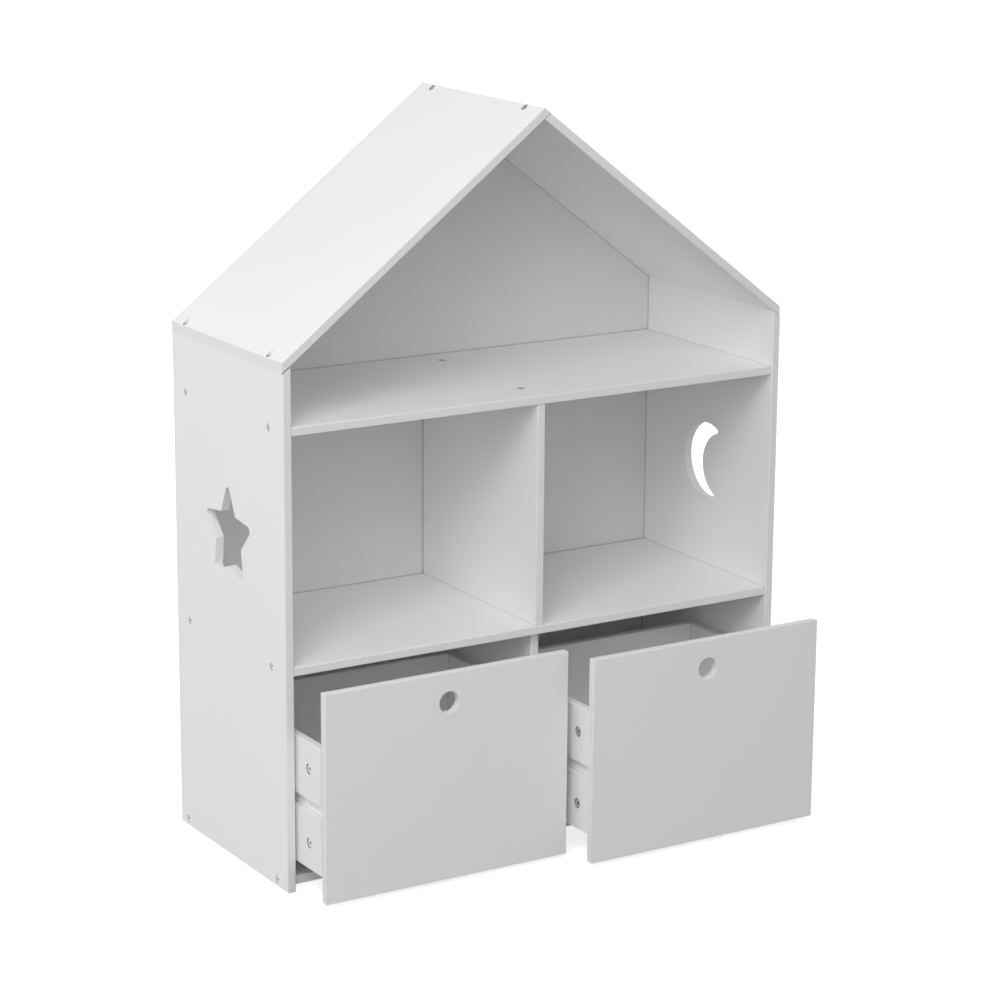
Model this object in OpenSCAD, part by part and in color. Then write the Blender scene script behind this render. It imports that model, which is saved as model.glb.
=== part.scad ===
// House-shaped bookcase for a child's room, made of painted 12 mm boards.
// Two side panels carry a pitched roof, an attic shelf, a middle shelf and a bottom board.
// Two open cubbies lie between the shelves, and two drawers run on battens below them.
// +X is to the right, +Y to the rear and +Z up. The floor is at z = 0, and the origin lies on
// it, midway across the width and midway from the most open drawer to the rear edges.

/* [Cabinet] */
// Outside width over both side panels
width = 800; // [700:10:960]
// Depth of a side panel, front edge to rear edge
depth = 330; // [300:5:400]
// Height of a side panel at its outer face, which is where the roof lands
wall_h = 718; // [690:1:860]
// Thickness of the painted boards
board_t = 12; // [11:0.5:15]
// Height of the bottom board above the floor
floor_gap = 5; // [3:1:20]
// How far the shelves stand behind the side panels' front edges
shelf_setback = 2; // [0:0.5:6]
// Radius of the sanded board edges
edge_r = 1.2; // [0.6:0.1:2]

/* [Roof] */
// Pitch of both roof panels, in degrees
roof_pitch = 37.5; // [30:0.5:44]
// How far the roof stands behind the side panels' front edges
roof_setback = 2; // [0:0.5:6]

/* [Shelves and dividers] */
// Height of the middle shelf's underside, which is the top of the drawer bays
middle_shelf_z = 305.5; // [300:0.5:345]
// Height of the attic shelf's underside
upper_shelf_z = 634; // [610:1:660]
// How far the upper divider stands behind the side panels' front edges
divider_setback = 3; // [2:0.5:10]

/* [Back panel] */
// Thickness of the thin back panel
back_t = 3; // [2.5:0.5:5]
// Distance of the back panel's rear face from the side panels' rear edges
back_inset = 10.5; // [6:0.5:16]
// Depth to which the back panel stands in the grooves round it
back_groove = 5; // [3:0.5:7]

/* [Star and moon] */
// Reach of the star's rounded points from its centre
star_reach = 67; // [58:0.5:78]
// Distance of the star's two upper notches from its centre
star_notch_top = 36.5; // [30:0.5:40]
// Distance of the star's two side notches from its centre
star_notch_side = 39.5; // [32:0.5:42]
// Distance of the star's lowest notch from its centre
star_notch_low = 43.5; // [34:0.5:46]
// Radius that the cutter leaves in the star's points
star_round = 7; // [3:0.5:9]
// Height of the star's centre
star_z = 464.5; // [440:0.5:500]
// Radius of the moon's outer edge
moon_outer_r = 57; // [54:0.5:66]
// Radius of the moon's inner edge
moon_inner_r = 50.5; // [44:0.5:54]
// Distance between the centres of the moon's two edges
moon_shift = 40; // [30:0.5:46]
// Radius that the cutter leaves in the moon's horns
moon_round = 3.5; // [2:0.5:4]
// Lean of the moon from upright, in degrees
moon_tilt = 4; // [0:1:30]
// Height of the moon's middle
moon_z = 477; // [450:1:500]
// Distance of the moon's middle behind the middle of the side panel
moon_behind = 7; // [0:1:40]

/* [Drawer fronts] */
// Gap between a drawer front and the side panel beside it
front_side_gap = 4; // [2:0.5:5]
// Gap between the two drawer fronts
front_middle_gap = 8; // [3:0.5:9]
// Gap between a drawer front and the middle shelf above it
front_top_gap = 3; // [1.5:0.5:5]
// How far a drawer front reaches below the bottom board's upper face
front_overlap = 10; // [6:0.5:11]
// Gap left behind a drawer front when the drawer is pushed in
closing_gap = 0.5; // [0.3:0.1:1.5]
// Diameter of the finger hole
finger_d = 30; // [22:1:36]
// Distance of the finger hole's centre below the top of the drawer front
finger_down = 42; // [30:1:60]
// Chamfer on both mouths of the finger hole
finger_chamfer = 1; // [0.5:0.1:2]
// How far the left drawer is pulled out
left_open = 81; // [0:1:200]
// How far the right drawer is pulled out
right_open = 133; // [0:1:200]

/* [Drawer boxes] */
// Height of the drawer box's boards
box_h = 180; // [160:1:200]
// Gap between a closed drawer box and the back panel
box_rear_gap = 7.5; // [2:0.5:60]
// Clear height between the bottom board and the drawer box
box_lift = 26; // [12:1:40]
// Gap between a drawer box and the cabinet on each side
box_side_gap = 4; // [2:0.5:8]
// Thickness of the drawer's bottom panel
box_floor_t = 3; // [2.5:0.5:5]
// Height of the bottom panel above the lower edge of the box
box_floor_up = 8; // [6:0.5:14]
// Depth to which the bottom panel stands in the grooves round it
box_floor_groove = 5; // [3:0.5:7]

/* [Runners] */
// Height of a runner batten
runner_h = 17; // [12:0.5:24]
// Depth of the groove that the batten runs in
runner_groove = 7; // [5:0.5:8]
// Clearance between the batten and the bottom of its groove
runner_end_gap = 1; // [0.5:0.1:2]
// Clearance above the batten, where the drawer rides on it
runner_seat_gap = 0.3; // [0.3:0.1:0.8]
// Clearance below the batten
runner_under_gap = 0.7; // [0.4:0.1:1.5]
// Distance of the batten's front end behind the lower divider's front edge
runner_setback = 8; // [4:1:40]
// Distance of the batten's rear end from the back panel
runner_rear_gap = 14; // [1:1:60]
// Distance of the batten screws from the batten's ends
runner_screw_in = 40; // [30:1:80]
// Offset of the right bay's batten screws, so that screws never meet in the lower divider
runner_screw_shift = 20; // [12:1:30]

/* [Screws, dowels and cams] */
// Diameter of a panel screw's shank
screw_d = 5; // [4:0.5:6]
// Length of a panel screw
screw_l = 45; // [36:1:50]
// Diameter of a panel screw's head
head_d = 9.5; // [8:0.5:10]
// Thickness of a panel screw's head
head_t = 2.5; // [2:0.5:4]
// Width across the flats of a panel screw's socket
socket_w = 4; // [3:0.5:5]
// Depth of a screw head below the face round it
head_sink = 0.7; // [0.3:0.1:1.5]
// Width of the open ring round a head in its counterbore
head_ring = 0.6; // [0.1:0.1:0.8]
// Distance of the shelf screws from the side panels' front and rear edges
shelf_screw_in = 41; // [30:1:70]
// Distance of the front screws in the bottom board from the front edges
floor_screw_front = 31; // [28:1:70]
// Distance of the rear screws in the bottom board from the rear edges
floor_screw_rear = 25; // [24:1:70]
// Distance of the roof's front screws from the side panels' front edges
roof_screw_front = 46; // [30:1:80]
// Distance of the roof's rear screws from the rear edges
roof_screw_rear = 36; // [28:1:80]
// Distance of the divider screws from the front and rear edges
divider_screw_in = 57; // [40:1:75]
// Diameter of a wooden dowel
dowel_d = 6; // [5:0.5:7]
// Length of a wooden dowel
dowel_l = 30; // [26:1:36]
// Distance of the divider dowels from the front and rear edges
dowel_inset = 88; // [84:1:120]
// Diameter of a cam lock
cam_d = 15; // [12:0.5:16]
// Thickness of a cam lock
cam_t = 9; // [8:0.5:9.5]
// Depth of a cam lock below the face round it
cam_sink = 1.6; // [0.4:0.1:2]
// Distance of a cam lock's centre behind the drawer front
cam_back = 35; // [24:1:45]
// Distance of the cam locks from the upper and lower edges of the box
cam_in = 37.5; // [30:0.5:50]
// Diameter of a cam bolt
cam_bolt_d = 6; // [4.5:0.5:6]

/* [Hidden] */
$fn = 48;

// Finishes
PAINT = [0.93, 0.93, 0.925];
BACK_PAINT = [0.90, 0.90, 0.895];
BEECH = [0.80, 0.66, 0.47];
STEEL = [0.72, 0.73, 0.75];
ZINC = [0.62, 0.63, 0.65];

LEFT = -1;
RIGHT = 1;
// Length by which a cut passes the face that it opens
PAST = 1;
// A rounding is this much larger than one that just touches, so that it crosses the edges cleanly
CROSSING = 0.03;
// Reach of a cut that takes all that lies past a line
CUT_REACH = 200;
// Clearance round a shank, a dowel or a bolt, and round a panel in its groove
SNUG = 0.05;
PANEL_CLEAR = 0.15;

// Where the cabinet stands: the drawers' reach and the cabinet share one footprint
reach = max(0, max(left_open, right_open) - shelf_setback);
y_rear = (depth + reach) / 2;
y_front = y_rear - depth;
y_middle = y_front + depth / 2;

// Outer and inner faces of the side panels
x_out = width / 2;
x_in = x_out - board_t;

// The drawer fronts close against the edges of the lower divider and the bottom board
lower_setback = shelf_setback + board_t + closing_gap;
y_lower = y_front + lower_setback;
y_back_face = y_rear - back_inset - back_t;

// Board heights
floor_top = floor_gap + board_t;
middle_top = middle_shelf_z + board_t;
upper_top = upper_shelf_z + board_t;
roof_rise_t = board_t / cos(roof_pitch);
ridge_z = wall_h + x_out * tan(roof_pitch) + roof_rise_t;
// Length of the left roof panel's end face, which lies in line with the right panel's top
ridge_face = board_t / sin(2 * roof_pitch);

// Drawer fronts and boxes
box_l = y_back_face - box_rear_gap - (y_lower - closing_gap);
front_w = (2 * x_in - 2 * front_side_gap - front_middle_gap) / 2;
front_z = floor_top - front_overlap;
front_h = middle_shelf_z - front_top_gap - front_z;
front_x = (front_middle_gap + front_w) / 2;
bay_w = x_in - board_t / 2;
bay_x = board_t / 2 + bay_w / 2;
box_w = bay_w - 2 * box_side_gap;
box_z = floor_top + box_lift;
box_inside_w = box_w - 2 * board_t;

// Runners and their grooves
runner_t = box_side_gap + runner_groove - runner_end_gap;
runner_groove_h = runner_h + runner_seat_gap + runner_under_gap;
runner_groove_z = box_z + (box_h - runner_groove_h) / 2;
runner_z = runner_groove_z + runner_under_gap;
y_runner = y_lower + runner_setback;
runner_l = y_back_face - runner_rear_gap - y_runner;
// A batten screw leaves this much of the board uncut behind its tip
SCREW_SKIN = 4;
RUNNER_SCREW_D = 3.5;
RUNNER_SCREW_L = runner_t + board_t - SCREW_SKIN;
RUNNER_HEAD_D = 7;
RUNNER_HEAD_T = 2.2;

// Length and end of a screw's point, as shares of its diameter, and depth of its socket
TIP_SHARE = 0.8;
TIP_END_SHARE = 0.25;
SOCKET_SHARE = 0.8;
DOWEL_CHAMFER = 1;
// A dowel leaves this much of the board uncut behind it
DOWEL_SKIN = 3;
// The cam bolt stands this deep in the drawer front and ends in a neck and a ball
BOLT_IN_FRONT = 9;
BOLT_NECK_D = 3.2;
BOLT_BALL_D = 4.8;
// The crossed slot and the hole at its middle, in the face of a cam lock
CAM_SLOT_W = 1.4;
CAM_SLOT_L = 6;
CAM_SLOT_DEPTH = 2.5;
CAM_HOLE_D = 3.2;

// ---------- Shapes that repeat ----------

// A rectangle with rounded corners, from its lower left corner
module soft_rect(w, h, r) {
  translate([r, 0]) square([w - 2 * r, h]);
  translate([0, r]) square([w, h - 2 * r]);
  for (x = [r, w - r], y = [r, h - r]) translate([x, y]) circle(r);
}

// A board from its lowest corner, with its edges along X, Y or Z rounded where asked
module board(size, along_x = true, along_y = false, along_z = false, r = edge_r) {
  intersection() {
    cube(size);
    if (along_x)
      rotate([90, 0, 90]) linear_extrude(size[0]) soft_rect(size[1], size[2], r);
    if (along_y)
      translate([0, size[1], 0]) rotate([90, 0, 0])
        linear_extrude(size[1]) soft_rect(size[0], size[2], r);
    if (along_z) linear_extrude(size[2]) soft_rect(size[0], size[1], r);
  }
}

// A board that spans the inside of the cabinet
module shelf_board(y, z, y_end = y_back_face) {
  translate([-x_in, y, z]) board([2 * x_in, y_end - y, board_t]);
}

// A panel screw: its head's top is at the origin and it points down
module panel_screw() {
  shank = screw_l - head_t;
  difference() {
    union() {
      translate([0, 0, -head_t]) cylinder(d = head_d, h = head_t);
      translate([0, 0, -head_t - shank + screw_d * TIP_SHARE])
        cylinder(d = screw_d, h = shank - screw_d * TIP_SHARE);
      translate([0, 0, -head_t - shank])
        cylinder(d1 = screw_d * TIP_END_SHARE, d2 = screw_d, h = screw_d * TIP_SHARE);
    }
    translate([0, 0, -head_t * SOCKET_SHARE])
      cylinder(d = socket_w / cos(30), h = head_t, $fn = 6);
  }
}

// The counterbored hole for that screw. rise clears a face that slopes across the hole.
module panel_screw_hole(rise = 0) {
  translate([0, 0, -head_t]) cylinder(d = head_d + 2 * head_ring, h = head_t + rise);
  translate([0, 0, -screw_l]) cylinder(d = screw_d + 2 * SNUG, h = screw_l);
}

// A dowel along Z, centred on the origin
module dowel() {
  straight = dowel_l - 2 * DOWEL_CHAMFER;
  cylinder(d = dowel_d, h = straight, center = true);
  for (end = [0, 180]) rotate([end, 0, 0]) translate([0, 0, straight / 2])
    cylinder(d1 = dowel_d, d2 = dowel_d - 2 * DOWEL_CHAMFER, h = DOWEL_CHAMFER);
}
module dowel_hole() { cylinder(d = dowel_d + 2 * SNUG, h = dowel_l, center = true); }

// ---------- Where the fixings go: each place is used by the fixing and by its hole ----------

// Head faces outward, on the outer face of a side panel
module side_screw_places(side) {
  shelf_ys = [y_front + shelf_screw_in, y_rear - shelf_screw_in];
  floor_ys = [y_front + floor_screw_front, y_rear - floor_screw_rear];
  for (z = [middle_shelf_z, upper_shelf_z], y = shelf_ys) side_screw_at(side, y, z) children();
  for (y = floor_ys) side_screw_at(side, y, floor_gap) children();
}
module side_screw_at(side, y, z) {
  translate([side * (x_out - head_sink), y, z + board_t / 2]) rotate([0, side * 90, 0]) children();
}

// Upright in the side panels' thickness, through the eaves
module eave_screw_places() {
  sink = head_sink + head_d / 2 * tan(roof_pitch);
  z = wall_h + roof_rise_t + board_t / 2 * tan(roof_pitch) - sink;
  for (side = [LEFT, RIGHT], y = [y_front + roof_screw_front, y_rear - roof_screw_rear])
    translate([side * (x_out - board_t / 2), y, z]) children();
}

// Along the middle of the right roof panel's thickness, through the left panel
module ridge_screw_places() {
  sink = head_sink + head_d / 2 * tan(90 - 2 * roof_pitch);
  along = board_t / 2 / sin(2 * roof_pitch);
  for (y = [y_front + roof_screw_front, y_rear - roof_screw_rear])
    translate([-along * cos(roof_pitch), y, ridge_z - along * sin(roof_pitch)])
      rotate([0, roof_pitch - 90, 0]) translate([0, 0, -sink]) children();
}

// Down through the attic shelf into the upper divider
module upper_divider_screw_places() {
  for (y = [y_front + divider_screw_in, y_rear - divider_screw_in])
    translate([0, y, upper_top - head_sink]) children();
}

// Up through the bottom board into the lower divider
module lower_divider_screw_places() {
  for (y = [y_front + divider_screw_in, y_rear - divider_screw_in])
    translate([0, y, floor_gap + head_sink]) rotate([180, 0, 0]) children();
}

// One dowel at the middle of each shelf end
module shelf_dowel_places(side) {
  x = side * (x_out - DOWEL_SKIN - dowel_l / 2);
  for (z = [floor_gap, middle_shelf_z, upper_shelf_z])
    translate([x, y_middle, z + board_t / 2]) rotate([0, 90, 0]) children();
}

// Through the middle shelf, from one divider into the other
module divider_dowel_places() {
  for (y = [y_front + dowel_inset, y_rear - dowel_inset])
    translate([0, y, middle_shelf_z + board_t / 2]) children();
}

// Heads on the faces of the runner battens: wall_x is the face that carries the batten
module runner_screw_places(wall_x, facing, shift) {
  ends = [runner_screw_in + shift, runner_l - runner_screw_in - shift];
  for (along = ends)
    translate([wall_x + facing * runner_t, y_runner + along, runner_z + runner_h / 2])
      rotate([0, facing * 90, 0]) children();
}
module all_runner_screw_places() {
  runner_screw_places(-x_in, RIGHT, 0) children();
  runner_screw_places(-board_t / 2, LEFT, 0) children();
  runner_screw_places(board_t / 2, RIGHT, runner_screw_shift) children();
  runner_screw_places(x_in, LEFT, runner_screw_shift) children();
}
module runner_screw() {
  shank = RUNNER_SCREW_L - RUNNER_HEAD_T;
  translate([0, 0, -RUNNER_HEAD_T])
    cylinder(d1 = RUNNER_SCREW_D, d2 = RUNNER_HEAD_D, h = RUNNER_HEAD_T);
  translate([0, 0, -RUNNER_HEAD_T - shank]) cylinder(d = RUNNER_SCREW_D, h = shank);
}
module runner_screw_hole() {
  translate([0, 0, -RUNNER_HEAD_T])
    cylinder(d1 = RUNNER_SCREW_D + 2 * SNUG, d2 = RUNNER_HEAD_D + 2 * SNUG, h = RUNNER_HEAD_T);
  translate([0, 0, -RUNNER_SCREW_L]) cylinder(d = RUNNER_SCREW_D + 2 * SNUG, h = RUNNER_SCREW_L);
}

// ---------- Outlines ----------

STAR_TURN = 360 / 5;
// Directions on a side panel, in degrees: upwards, and as far down as only the lowest notch lies
UPWARDS = 90;
NEARLY_DOWN = -0.9;
function turned(p, angle) =
  [p[0] * cos(angle) - p[1] * sin(angle), p[0] * sin(angle) + p[1] * cos(angle)];
// The notch that lies in this direction from the star's centre
function star_notch(angle) = let (r = sin(angle) > 0 ? star_notch_top
    : sin(angle) > NEARLY_DOWN ? star_notch_side : star_notch_low)
  turned([r, 0], angle);
// Where a straight edge from this point touches a star point's rounding, on the side of turn
function touching(from, centre, turn) = let (away = from - centre,
    angle = atan2(away[1], away[0]) + turn * acos(star_round / norm(away)))
  centre + star_round * [cos(angle), sin(angle)];

// A five-pointed star whose points are rounded by the cutter, point up, centred on the origin
module star_outline() {
  centre_r = star_reach - star_round;
  polygon([for (k = [0:4])
    let (angle = UPWARDS + STAR_TURN * k,
      centre = turned([centre_r, 0], angle),
      before = star_notch(angle - STAR_TURN / 2),
      after = star_notch(angle + STAR_TURN / 2))
    each [before, touching(before, centre, 1), touching(after, centre, -1)]
  ]);
  for (k = [0:4]) rotate(UPWARDS + STAR_TURN * k) translate([centre_r, 0])
    circle(star_round + CROSSING);
}

// A crescent open to -X with rounded horns, with the middle of its width on the origin
module moon_outline() {
  // Centre of a horn's rounding: it touches the outer edge from inside and the inner from outside
  to_outer = moon_outer_r - moon_round;
  to_inner = moon_inner_r + moon_round;
  horn_x = (to_inner * to_inner - to_outer * to_outer - moon_shift * moon_shift) / (2 * moon_shift);
  horn_y = sqrt(to_outer * to_outer - horn_x * horn_x);
  touch_outer = [horn_x, horn_y] * moon_outer_r / to_outer;
  touch_inner = [horn_x, horn_y] - [horn_x + moon_shift, horn_y] * moon_round / to_inner;
  translate([-(moon_outer_r + horn_x - moon_round) / 2, 0]) {
    difference() {
      circle(moon_outer_r);
      translate([-moon_shift, 0]) circle(moon_inner_r);
      // What lies past the line between the touching points is left to the roundings
      for (side = [0, 1]) mirror([0, side])
        polygon([touch_inner, touch_outer, touch_outer + [0, CUT_REACH],
          [-CUT_REACH, CUT_REACH], [-CUT_REACH, touch_inner[1]]]);
    }
    for (side = [-1, 1]) translate([horn_x, side * horn_y]) circle(moon_round + CROSSING);
  }
}

// The back panel's outline in X and Z, grown by a clearance
module back_outline(grow) {
  edge_x = x_in + back_groove + grow;
  lift = (back_groove + grow) / cos(roof_pitch);
  eave_z = wall_h + (x_out - edge_x) * tan(roof_pitch) + lift;
  top_z = wall_h + x_out * tan(roof_pitch) + lift;
  low_z = floor_top - back_groove - grow;
  polygon([[-edge_x, low_z], [edge_x, low_z], [edge_x, eave_z], [0, top_z], [-edge_x, eave_z]]);
}
module back_slab(grow) {
  translate([0, y_back_face + back_t + grow, 0]) rotate([90, 0, 0])
    linear_extrude(back_t + 2 * grow) back_outline(grow);
}

// ---------- Side panels ----------

// One side panel, rounded along its upright and lower edges and bevelled under the roof
module side_panel(side) {
  inner_top = wall_h + board_t * tan(roof_pitch);
  difference() {
    intersection() {
      translate([side == LEFT ? -x_out : x_in, y_front, 0])
        board([board_t, depth, inner_top + board_t], false, true, true);
      scale([side, 1, 1]) translate([0, y_rear, 0]) rotate([90, 0, 0]) linear_extrude(depth)
        polygon([[x_in, 0], [x_out, 0], [x_out, wall_h], [x_in, inner_top]]);
    }
    back_slab(PANEL_CLEAR);
    side_screw_places(side) panel_screw_hole(head_sink + PAST);
    eave_screw_places() panel_screw_hole();
    shelf_dowel_places(side) dowel_hole();
    runner_screw_places(side * x_in, -side, side == LEFT ? 0 : runner_screw_shift)
      runner_screw_hole();
  }
}
// Turns an outline drawn in X and Y into a cut through a side panel, with the outline's Y up
module side_cut(side, y, z) {
  translate([side * (x_out - board_t / 2), y, z]) rotate([90, 0, 90])
    linear_extrude(board_t + 2 * PAST, center = true) children();
}
module left_side() {
  color(PAINT) difference() {
    side_panel(LEFT);
    side_cut(LEFT, y_middle, star_z) star_outline();
  }
}
module right_side() {
  color(PAINT) difference() {
    side_panel(RIGHT);
    side_cut(RIGHT, y_middle + moon_behind, moon_z) rotate(moon_tilt) moon_outline();
  }
}

// ---------- Roof ----------

// One roof panel: the outline gives its ends, and a sloping slab gives its rounded edges
module roof_panel(side, outline) {
  y_roof = y_front + roof_setback;
  roof_l = 2 * x_out / cos(roof_pitch);
  difference() {
    intersection() {
      translate([0, y_rear, 0]) rotate([90, 0, 0]) linear_extrude(y_rear - y_roof) polygon(outline);
      translate([0, y_roof, ridge_z]) rotate([0, side * roof_pitch, 0])
        translate([-roof_l, 0, -board_t]) board([2 * roof_l, y_rear - y_roof, board_t]);
    }
    back_slab(PANEL_CLEAR);
    eave_screw_places() panel_screw_hole(x_out * tan(roof_pitch));
    ridge_screw_places() panel_screw_hole(board_t);
  }
}
ridge_end = [ridge_face * cos(roof_pitch), ridge_z - ridge_face * sin(roof_pitch)];
module left_roof() {
  color(PAINT) roof_panel(LEFT, [
    [-x_out, wall_h], [-x_out, wall_h + roof_rise_t], [0, ridge_z], ridge_end
  ]);
}
module right_roof() {
  color(PAINT) roof_panel(RIGHT, [
    [x_out, wall_h], [x_out, wall_h + roof_rise_t], ridge_end, [0, ridge_z - roof_rise_t]
  ]);
}

// ---------- Shelves, dividers and back ----------

module upper_shelf() {
  color(PAINT) difference() {
    shelf_board(y_front + shelf_setback, upper_shelf_z);
    for (side = [LEFT, RIGHT]) {
      side_screw_places(side) panel_screw_hole();
      shelf_dowel_places(side) dowel_hole();
    }
    upper_divider_screw_places() panel_screw_hole(head_sink + PAST);
  }
}
module middle_shelf() {
  color(PAINT) difference() {
    shelf_board(y_front + shelf_setback, middle_shelf_z);
    for (side = [LEFT, RIGHT]) {
      side_screw_places(side) panel_screw_hole();
      shelf_dowel_places(side) dowel_hole();
    }
    divider_dowel_places() dowel_hole();
  }
}
module bottom_board() {
  color(PAINT) difference() {
    shelf_board(y_lower, floor_gap, y_rear);
    for (side = [LEFT, RIGHT]) {
      side_screw_places(side) panel_screw_hole();
      shelf_dowel_places(side) dowel_hole();
    }
    lower_divider_screw_places() panel_screw_hole(head_sink + PAST);
    back_slab(PANEL_CLEAR);
  }
}
module divider_board(y, z, h) {
  translate([-board_t / 2, y, z]) board([board_t, y_back_face - y, h], false, false, true);
}
module upper_divider() {
  color(PAINT) difference() {
    divider_board(y_front + divider_setback, middle_top, upper_shelf_z - middle_top);
    upper_divider_screw_places() panel_screw_hole();
    divider_dowel_places() dowel_hole();
  }
}
module lower_divider() {
  color(PAINT) difference() {
    divider_board(y_lower, floor_top, middle_shelf_z - floor_top);
    lower_divider_screw_places() panel_screw_hole();
    divider_dowel_places() dowel_hole();
    runner_screw_places(-board_t / 2, LEFT, 0) runner_screw_hole();
    runner_screw_places(board_t / 2, RIGHT, runner_screw_shift) runner_screw_hole();
  }
}
module back_panel() { color(BACK_PAINT) back_slab(0); }

// ---------- Runner battens ----------

// A batten on the face at wall_x, rounded at its front end so that the groove finds it
module runner(wall_x, facing, shift) {
  x = facing == RIGHT ? wall_x : wall_x - runner_t;
  nose = runner_h / 2;
  color(BEECH) difference() {
    union() {
      translate([x, y_runner + nose, runner_z]) cube([runner_t, runner_l - nose, runner_h]);
      translate([x, y_runner + nose, runner_z + nose]) rotate([0, 90, 0])
        cylinder(d = runner_h, h = runner_t);
    }
    runner_screw_places(wall_x, facing, shift) runner_screw_hole();
  }
}
module left_outer_runner() { runner(-x_in, RIGHT, 0); }
module left_inner_runner() { runner(-board_t / 2, LEFT, 0); }
module right_inner_runner() { runner(board_t / 2, RIGHT, runner_screw_shift); }
module right_outer_runner() { runner(x_in, LEFT, runner_screw_shift); }

// ---------- Cabinet fixings ----------

module left_side_screws() { color(STEEL) side_screw_places(LEFT) panel_screw(); }
module right_side_screws() { color(STEEL) side_screw_places(RIGHT) panel_screw(); }
module roof_screws() {
  color(STEEL) {
    eave_screw_places() panel_screw();
    ridge_screw_places() panel_screw();
  }
}
module upper_divider_screws() { color(STEEL) upper_divider_screw_places() panel_screw(); }
module lower_divider_screws() { color(STEEL) lower_divider_screw_places() panel_screw(); }
module runner_screws() { color(STEEL) all_runner_screw_places() runner_screw(); }
module shelf_dowels() {
  color(BEECH) for (side = [LEFT, RIGHT]) shelf_dowel_places(side) dowel();
}
module divider_dowels() { color(BEECH) divider_dowel_places() dowel(); }

// ---------- Drawers ----------
// A drawer is drawn with the rear face of its front at y = 0 and with its bay's middle at x = 0.
// place_drawer puts it in its bay, pulled out by its own amount.

module place_drawer(side) {
  opening = side == LEFT ? left_open : right_open;
  translate([side * bay_x, y_lower - closing_gap - opening, 0]) children();
}
// Offset of the front's middle from the bay's middle
function front_shift(side) = side * (front_x - bay_x);

// Heads outward on the box sides, at the height of the cam locks
function cam_zs() = [box_z + cam_in, box_z + box_h - cam_in];
module cam_places() {
  for (flank = [LEFT, RIGHT], z = cam_zs())
    translate([flank * (box_w / 2 - cam_sink), cam_back, z]) rotate([0, flank * 90, 0]) children();
}
// Along Y at the middle of a box side's thickness
module cam_bolt_places() {
  for (flank = [LEFT, RIGHT], z = cam_zs())
    translate([flank * (box_w / 2 - board_t / 2), 0, z]) rotate([-90, 0, 0]) children();
}
module box_screw_places() {
  for (flank = [LEFT, RIGHT], z = cam_zs())
    translate([flank * (box_w / 2 - head_sink), box_l - board_t / 2, z])
      rotate([0, flank * 90, 0]) children();
}
// The bottom panel, grown by a clearance to cut its grooves
module floor_slab(grow) {
  half = box_inside_w / 2 + box_floor_groove + grow;
  y_end = box_l - board_t + box_floor_groove + grow;
  y_start = -box_floor_groove - grow;
  translate([-half, y_start, box_z + box_floor_up - grow])
    cube([2 * half, y_end - y_start, box_floor_t + 2 * grow]);
}

// A cam lock: a disc with a crossed slot and a hole in its face, and a throat that opens towards
// the drawer front
module cam_lock() {
  difference() {
    translate([0, 0, -cam_t]) cylinder(d = cam_d - 2 * SNUG, h = cam_t);
    for (turn = [45, 135]) rotate(turn)
      translate([-CAM_SLOT_L / 2, -CAM_SLOT_W / 2, -CAM_SLOT_DEPTH])
        cube([CAM_SLOT_L, CAM_SLOT_W, CAM_SLOT_DEPTH + PAST]);
    translate([0, 0, cam_sink - board_t / 2]) {
      rotate([90, 0, 0]) cylinder(d = cam_bolt_d + 2 * SNUG, h = cam_d);
      cylinder(d = CAM_HOLE_D, h = board_t);
    }
  }
}
// A cam bolt along +Z from the rear face of the drawer front
module cam_bolt() {
  neck_z = cam_back - cam_d / 2;
  translate([0, 0, -BOLT_IN_FRONT]) cylinder(d = cam_bolt_d, h = BOLT_IN_FRONT + neck_z);
  translate([0, 0, neck_z]) cylinder(d = BOLT_NECK_D, h = cam_d / 2 - BOLT_BALL_D / 2);
  translate([0, 0, cam_back - BOLT_BALL_D / 2]) sphere(d = BOLT_BALL_D);
}
module cam_bolt_hole() {
  translate([0, 0, -BOLT_IN_FRONT - SNUG])
    cylinder(d = cam_bolt_d + 2 * SNUG, h = BOLT_IN_FRONT + SNUG + cam_back);
}

module drawer_front(side) {
  place_drawer(side) color(PAINT) difference() {
    translate([front_shift(side) - front_w / 2, -board_t, front_z])
      board([front_w, board_t, front_h], true, true, true);
    translate([front_shift(side), 0, front_z + front_h - finger_down]) rotate([90, 0, 0]) {
      translate([0, 0, -PAST]) cylinder(d = finger_d, h = board_t + 2 * PAST);
      translate([0, 0, board_t - finger_chamfer])
        cylinder(d1 = finger_d, d2 = finger_d + 4 * finger_chamfer, h = 2 * finger_chamfer);
      translate([0, 0, -finger_chamfer])
        cylinder(d1 = finger_d + 4 * finger_chamfer, d2 = finger_d, h = 2 * finger_chamfer);
    }
    cam_bolt_places() cam_bolt_hole();
    floor_slab(PANEL_CLEAR);
  }
}
// flank says which side of the box it is; the runner groove is in its outer face
module drawer_side(side, flank) {
  place_drawer(side) color(PAINT) difference() {
    translate([flank == LEFT ? -box_w / 2 : box_w / 2 - board_t, 0, box_z])
      board([board_t, box_l, box_h], false, true, false);
    translate([flank == LEFT ? -box_w / 2 - PAST : box_w / 2 - runner_groove, -PAST, runner_groove_z])
      cube([runner_groove + PAST, box_l + 2 * PAST, runner_groove_h]);
    cam_places() translate([0, 0, -cam_t]) cylinder(d = cam_d, h = cam_t + cam_sink + PAST);
    cam_bolt_places() cam_bolt_hole();
    box_screw_places() panel_screw_hole(head_sink + PAST);
    floor_slab(PANEL_CLEAR);
  }
}
module drawer_back(side) {
  place_drawer(side) color(PAINT) difference() {
    translate([-box_inside_w / 2, box_l - board_t, box_z]) board([box_inside_w, board_t, box_h]);
    box_screw_places() panel_screw_hole();
    floor_slab(PANEL_CLEAR);
  }
}
module drawer_floor(side) { place_drawer(side) color(BACK_PAINT) floor_slab(0); }
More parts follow.
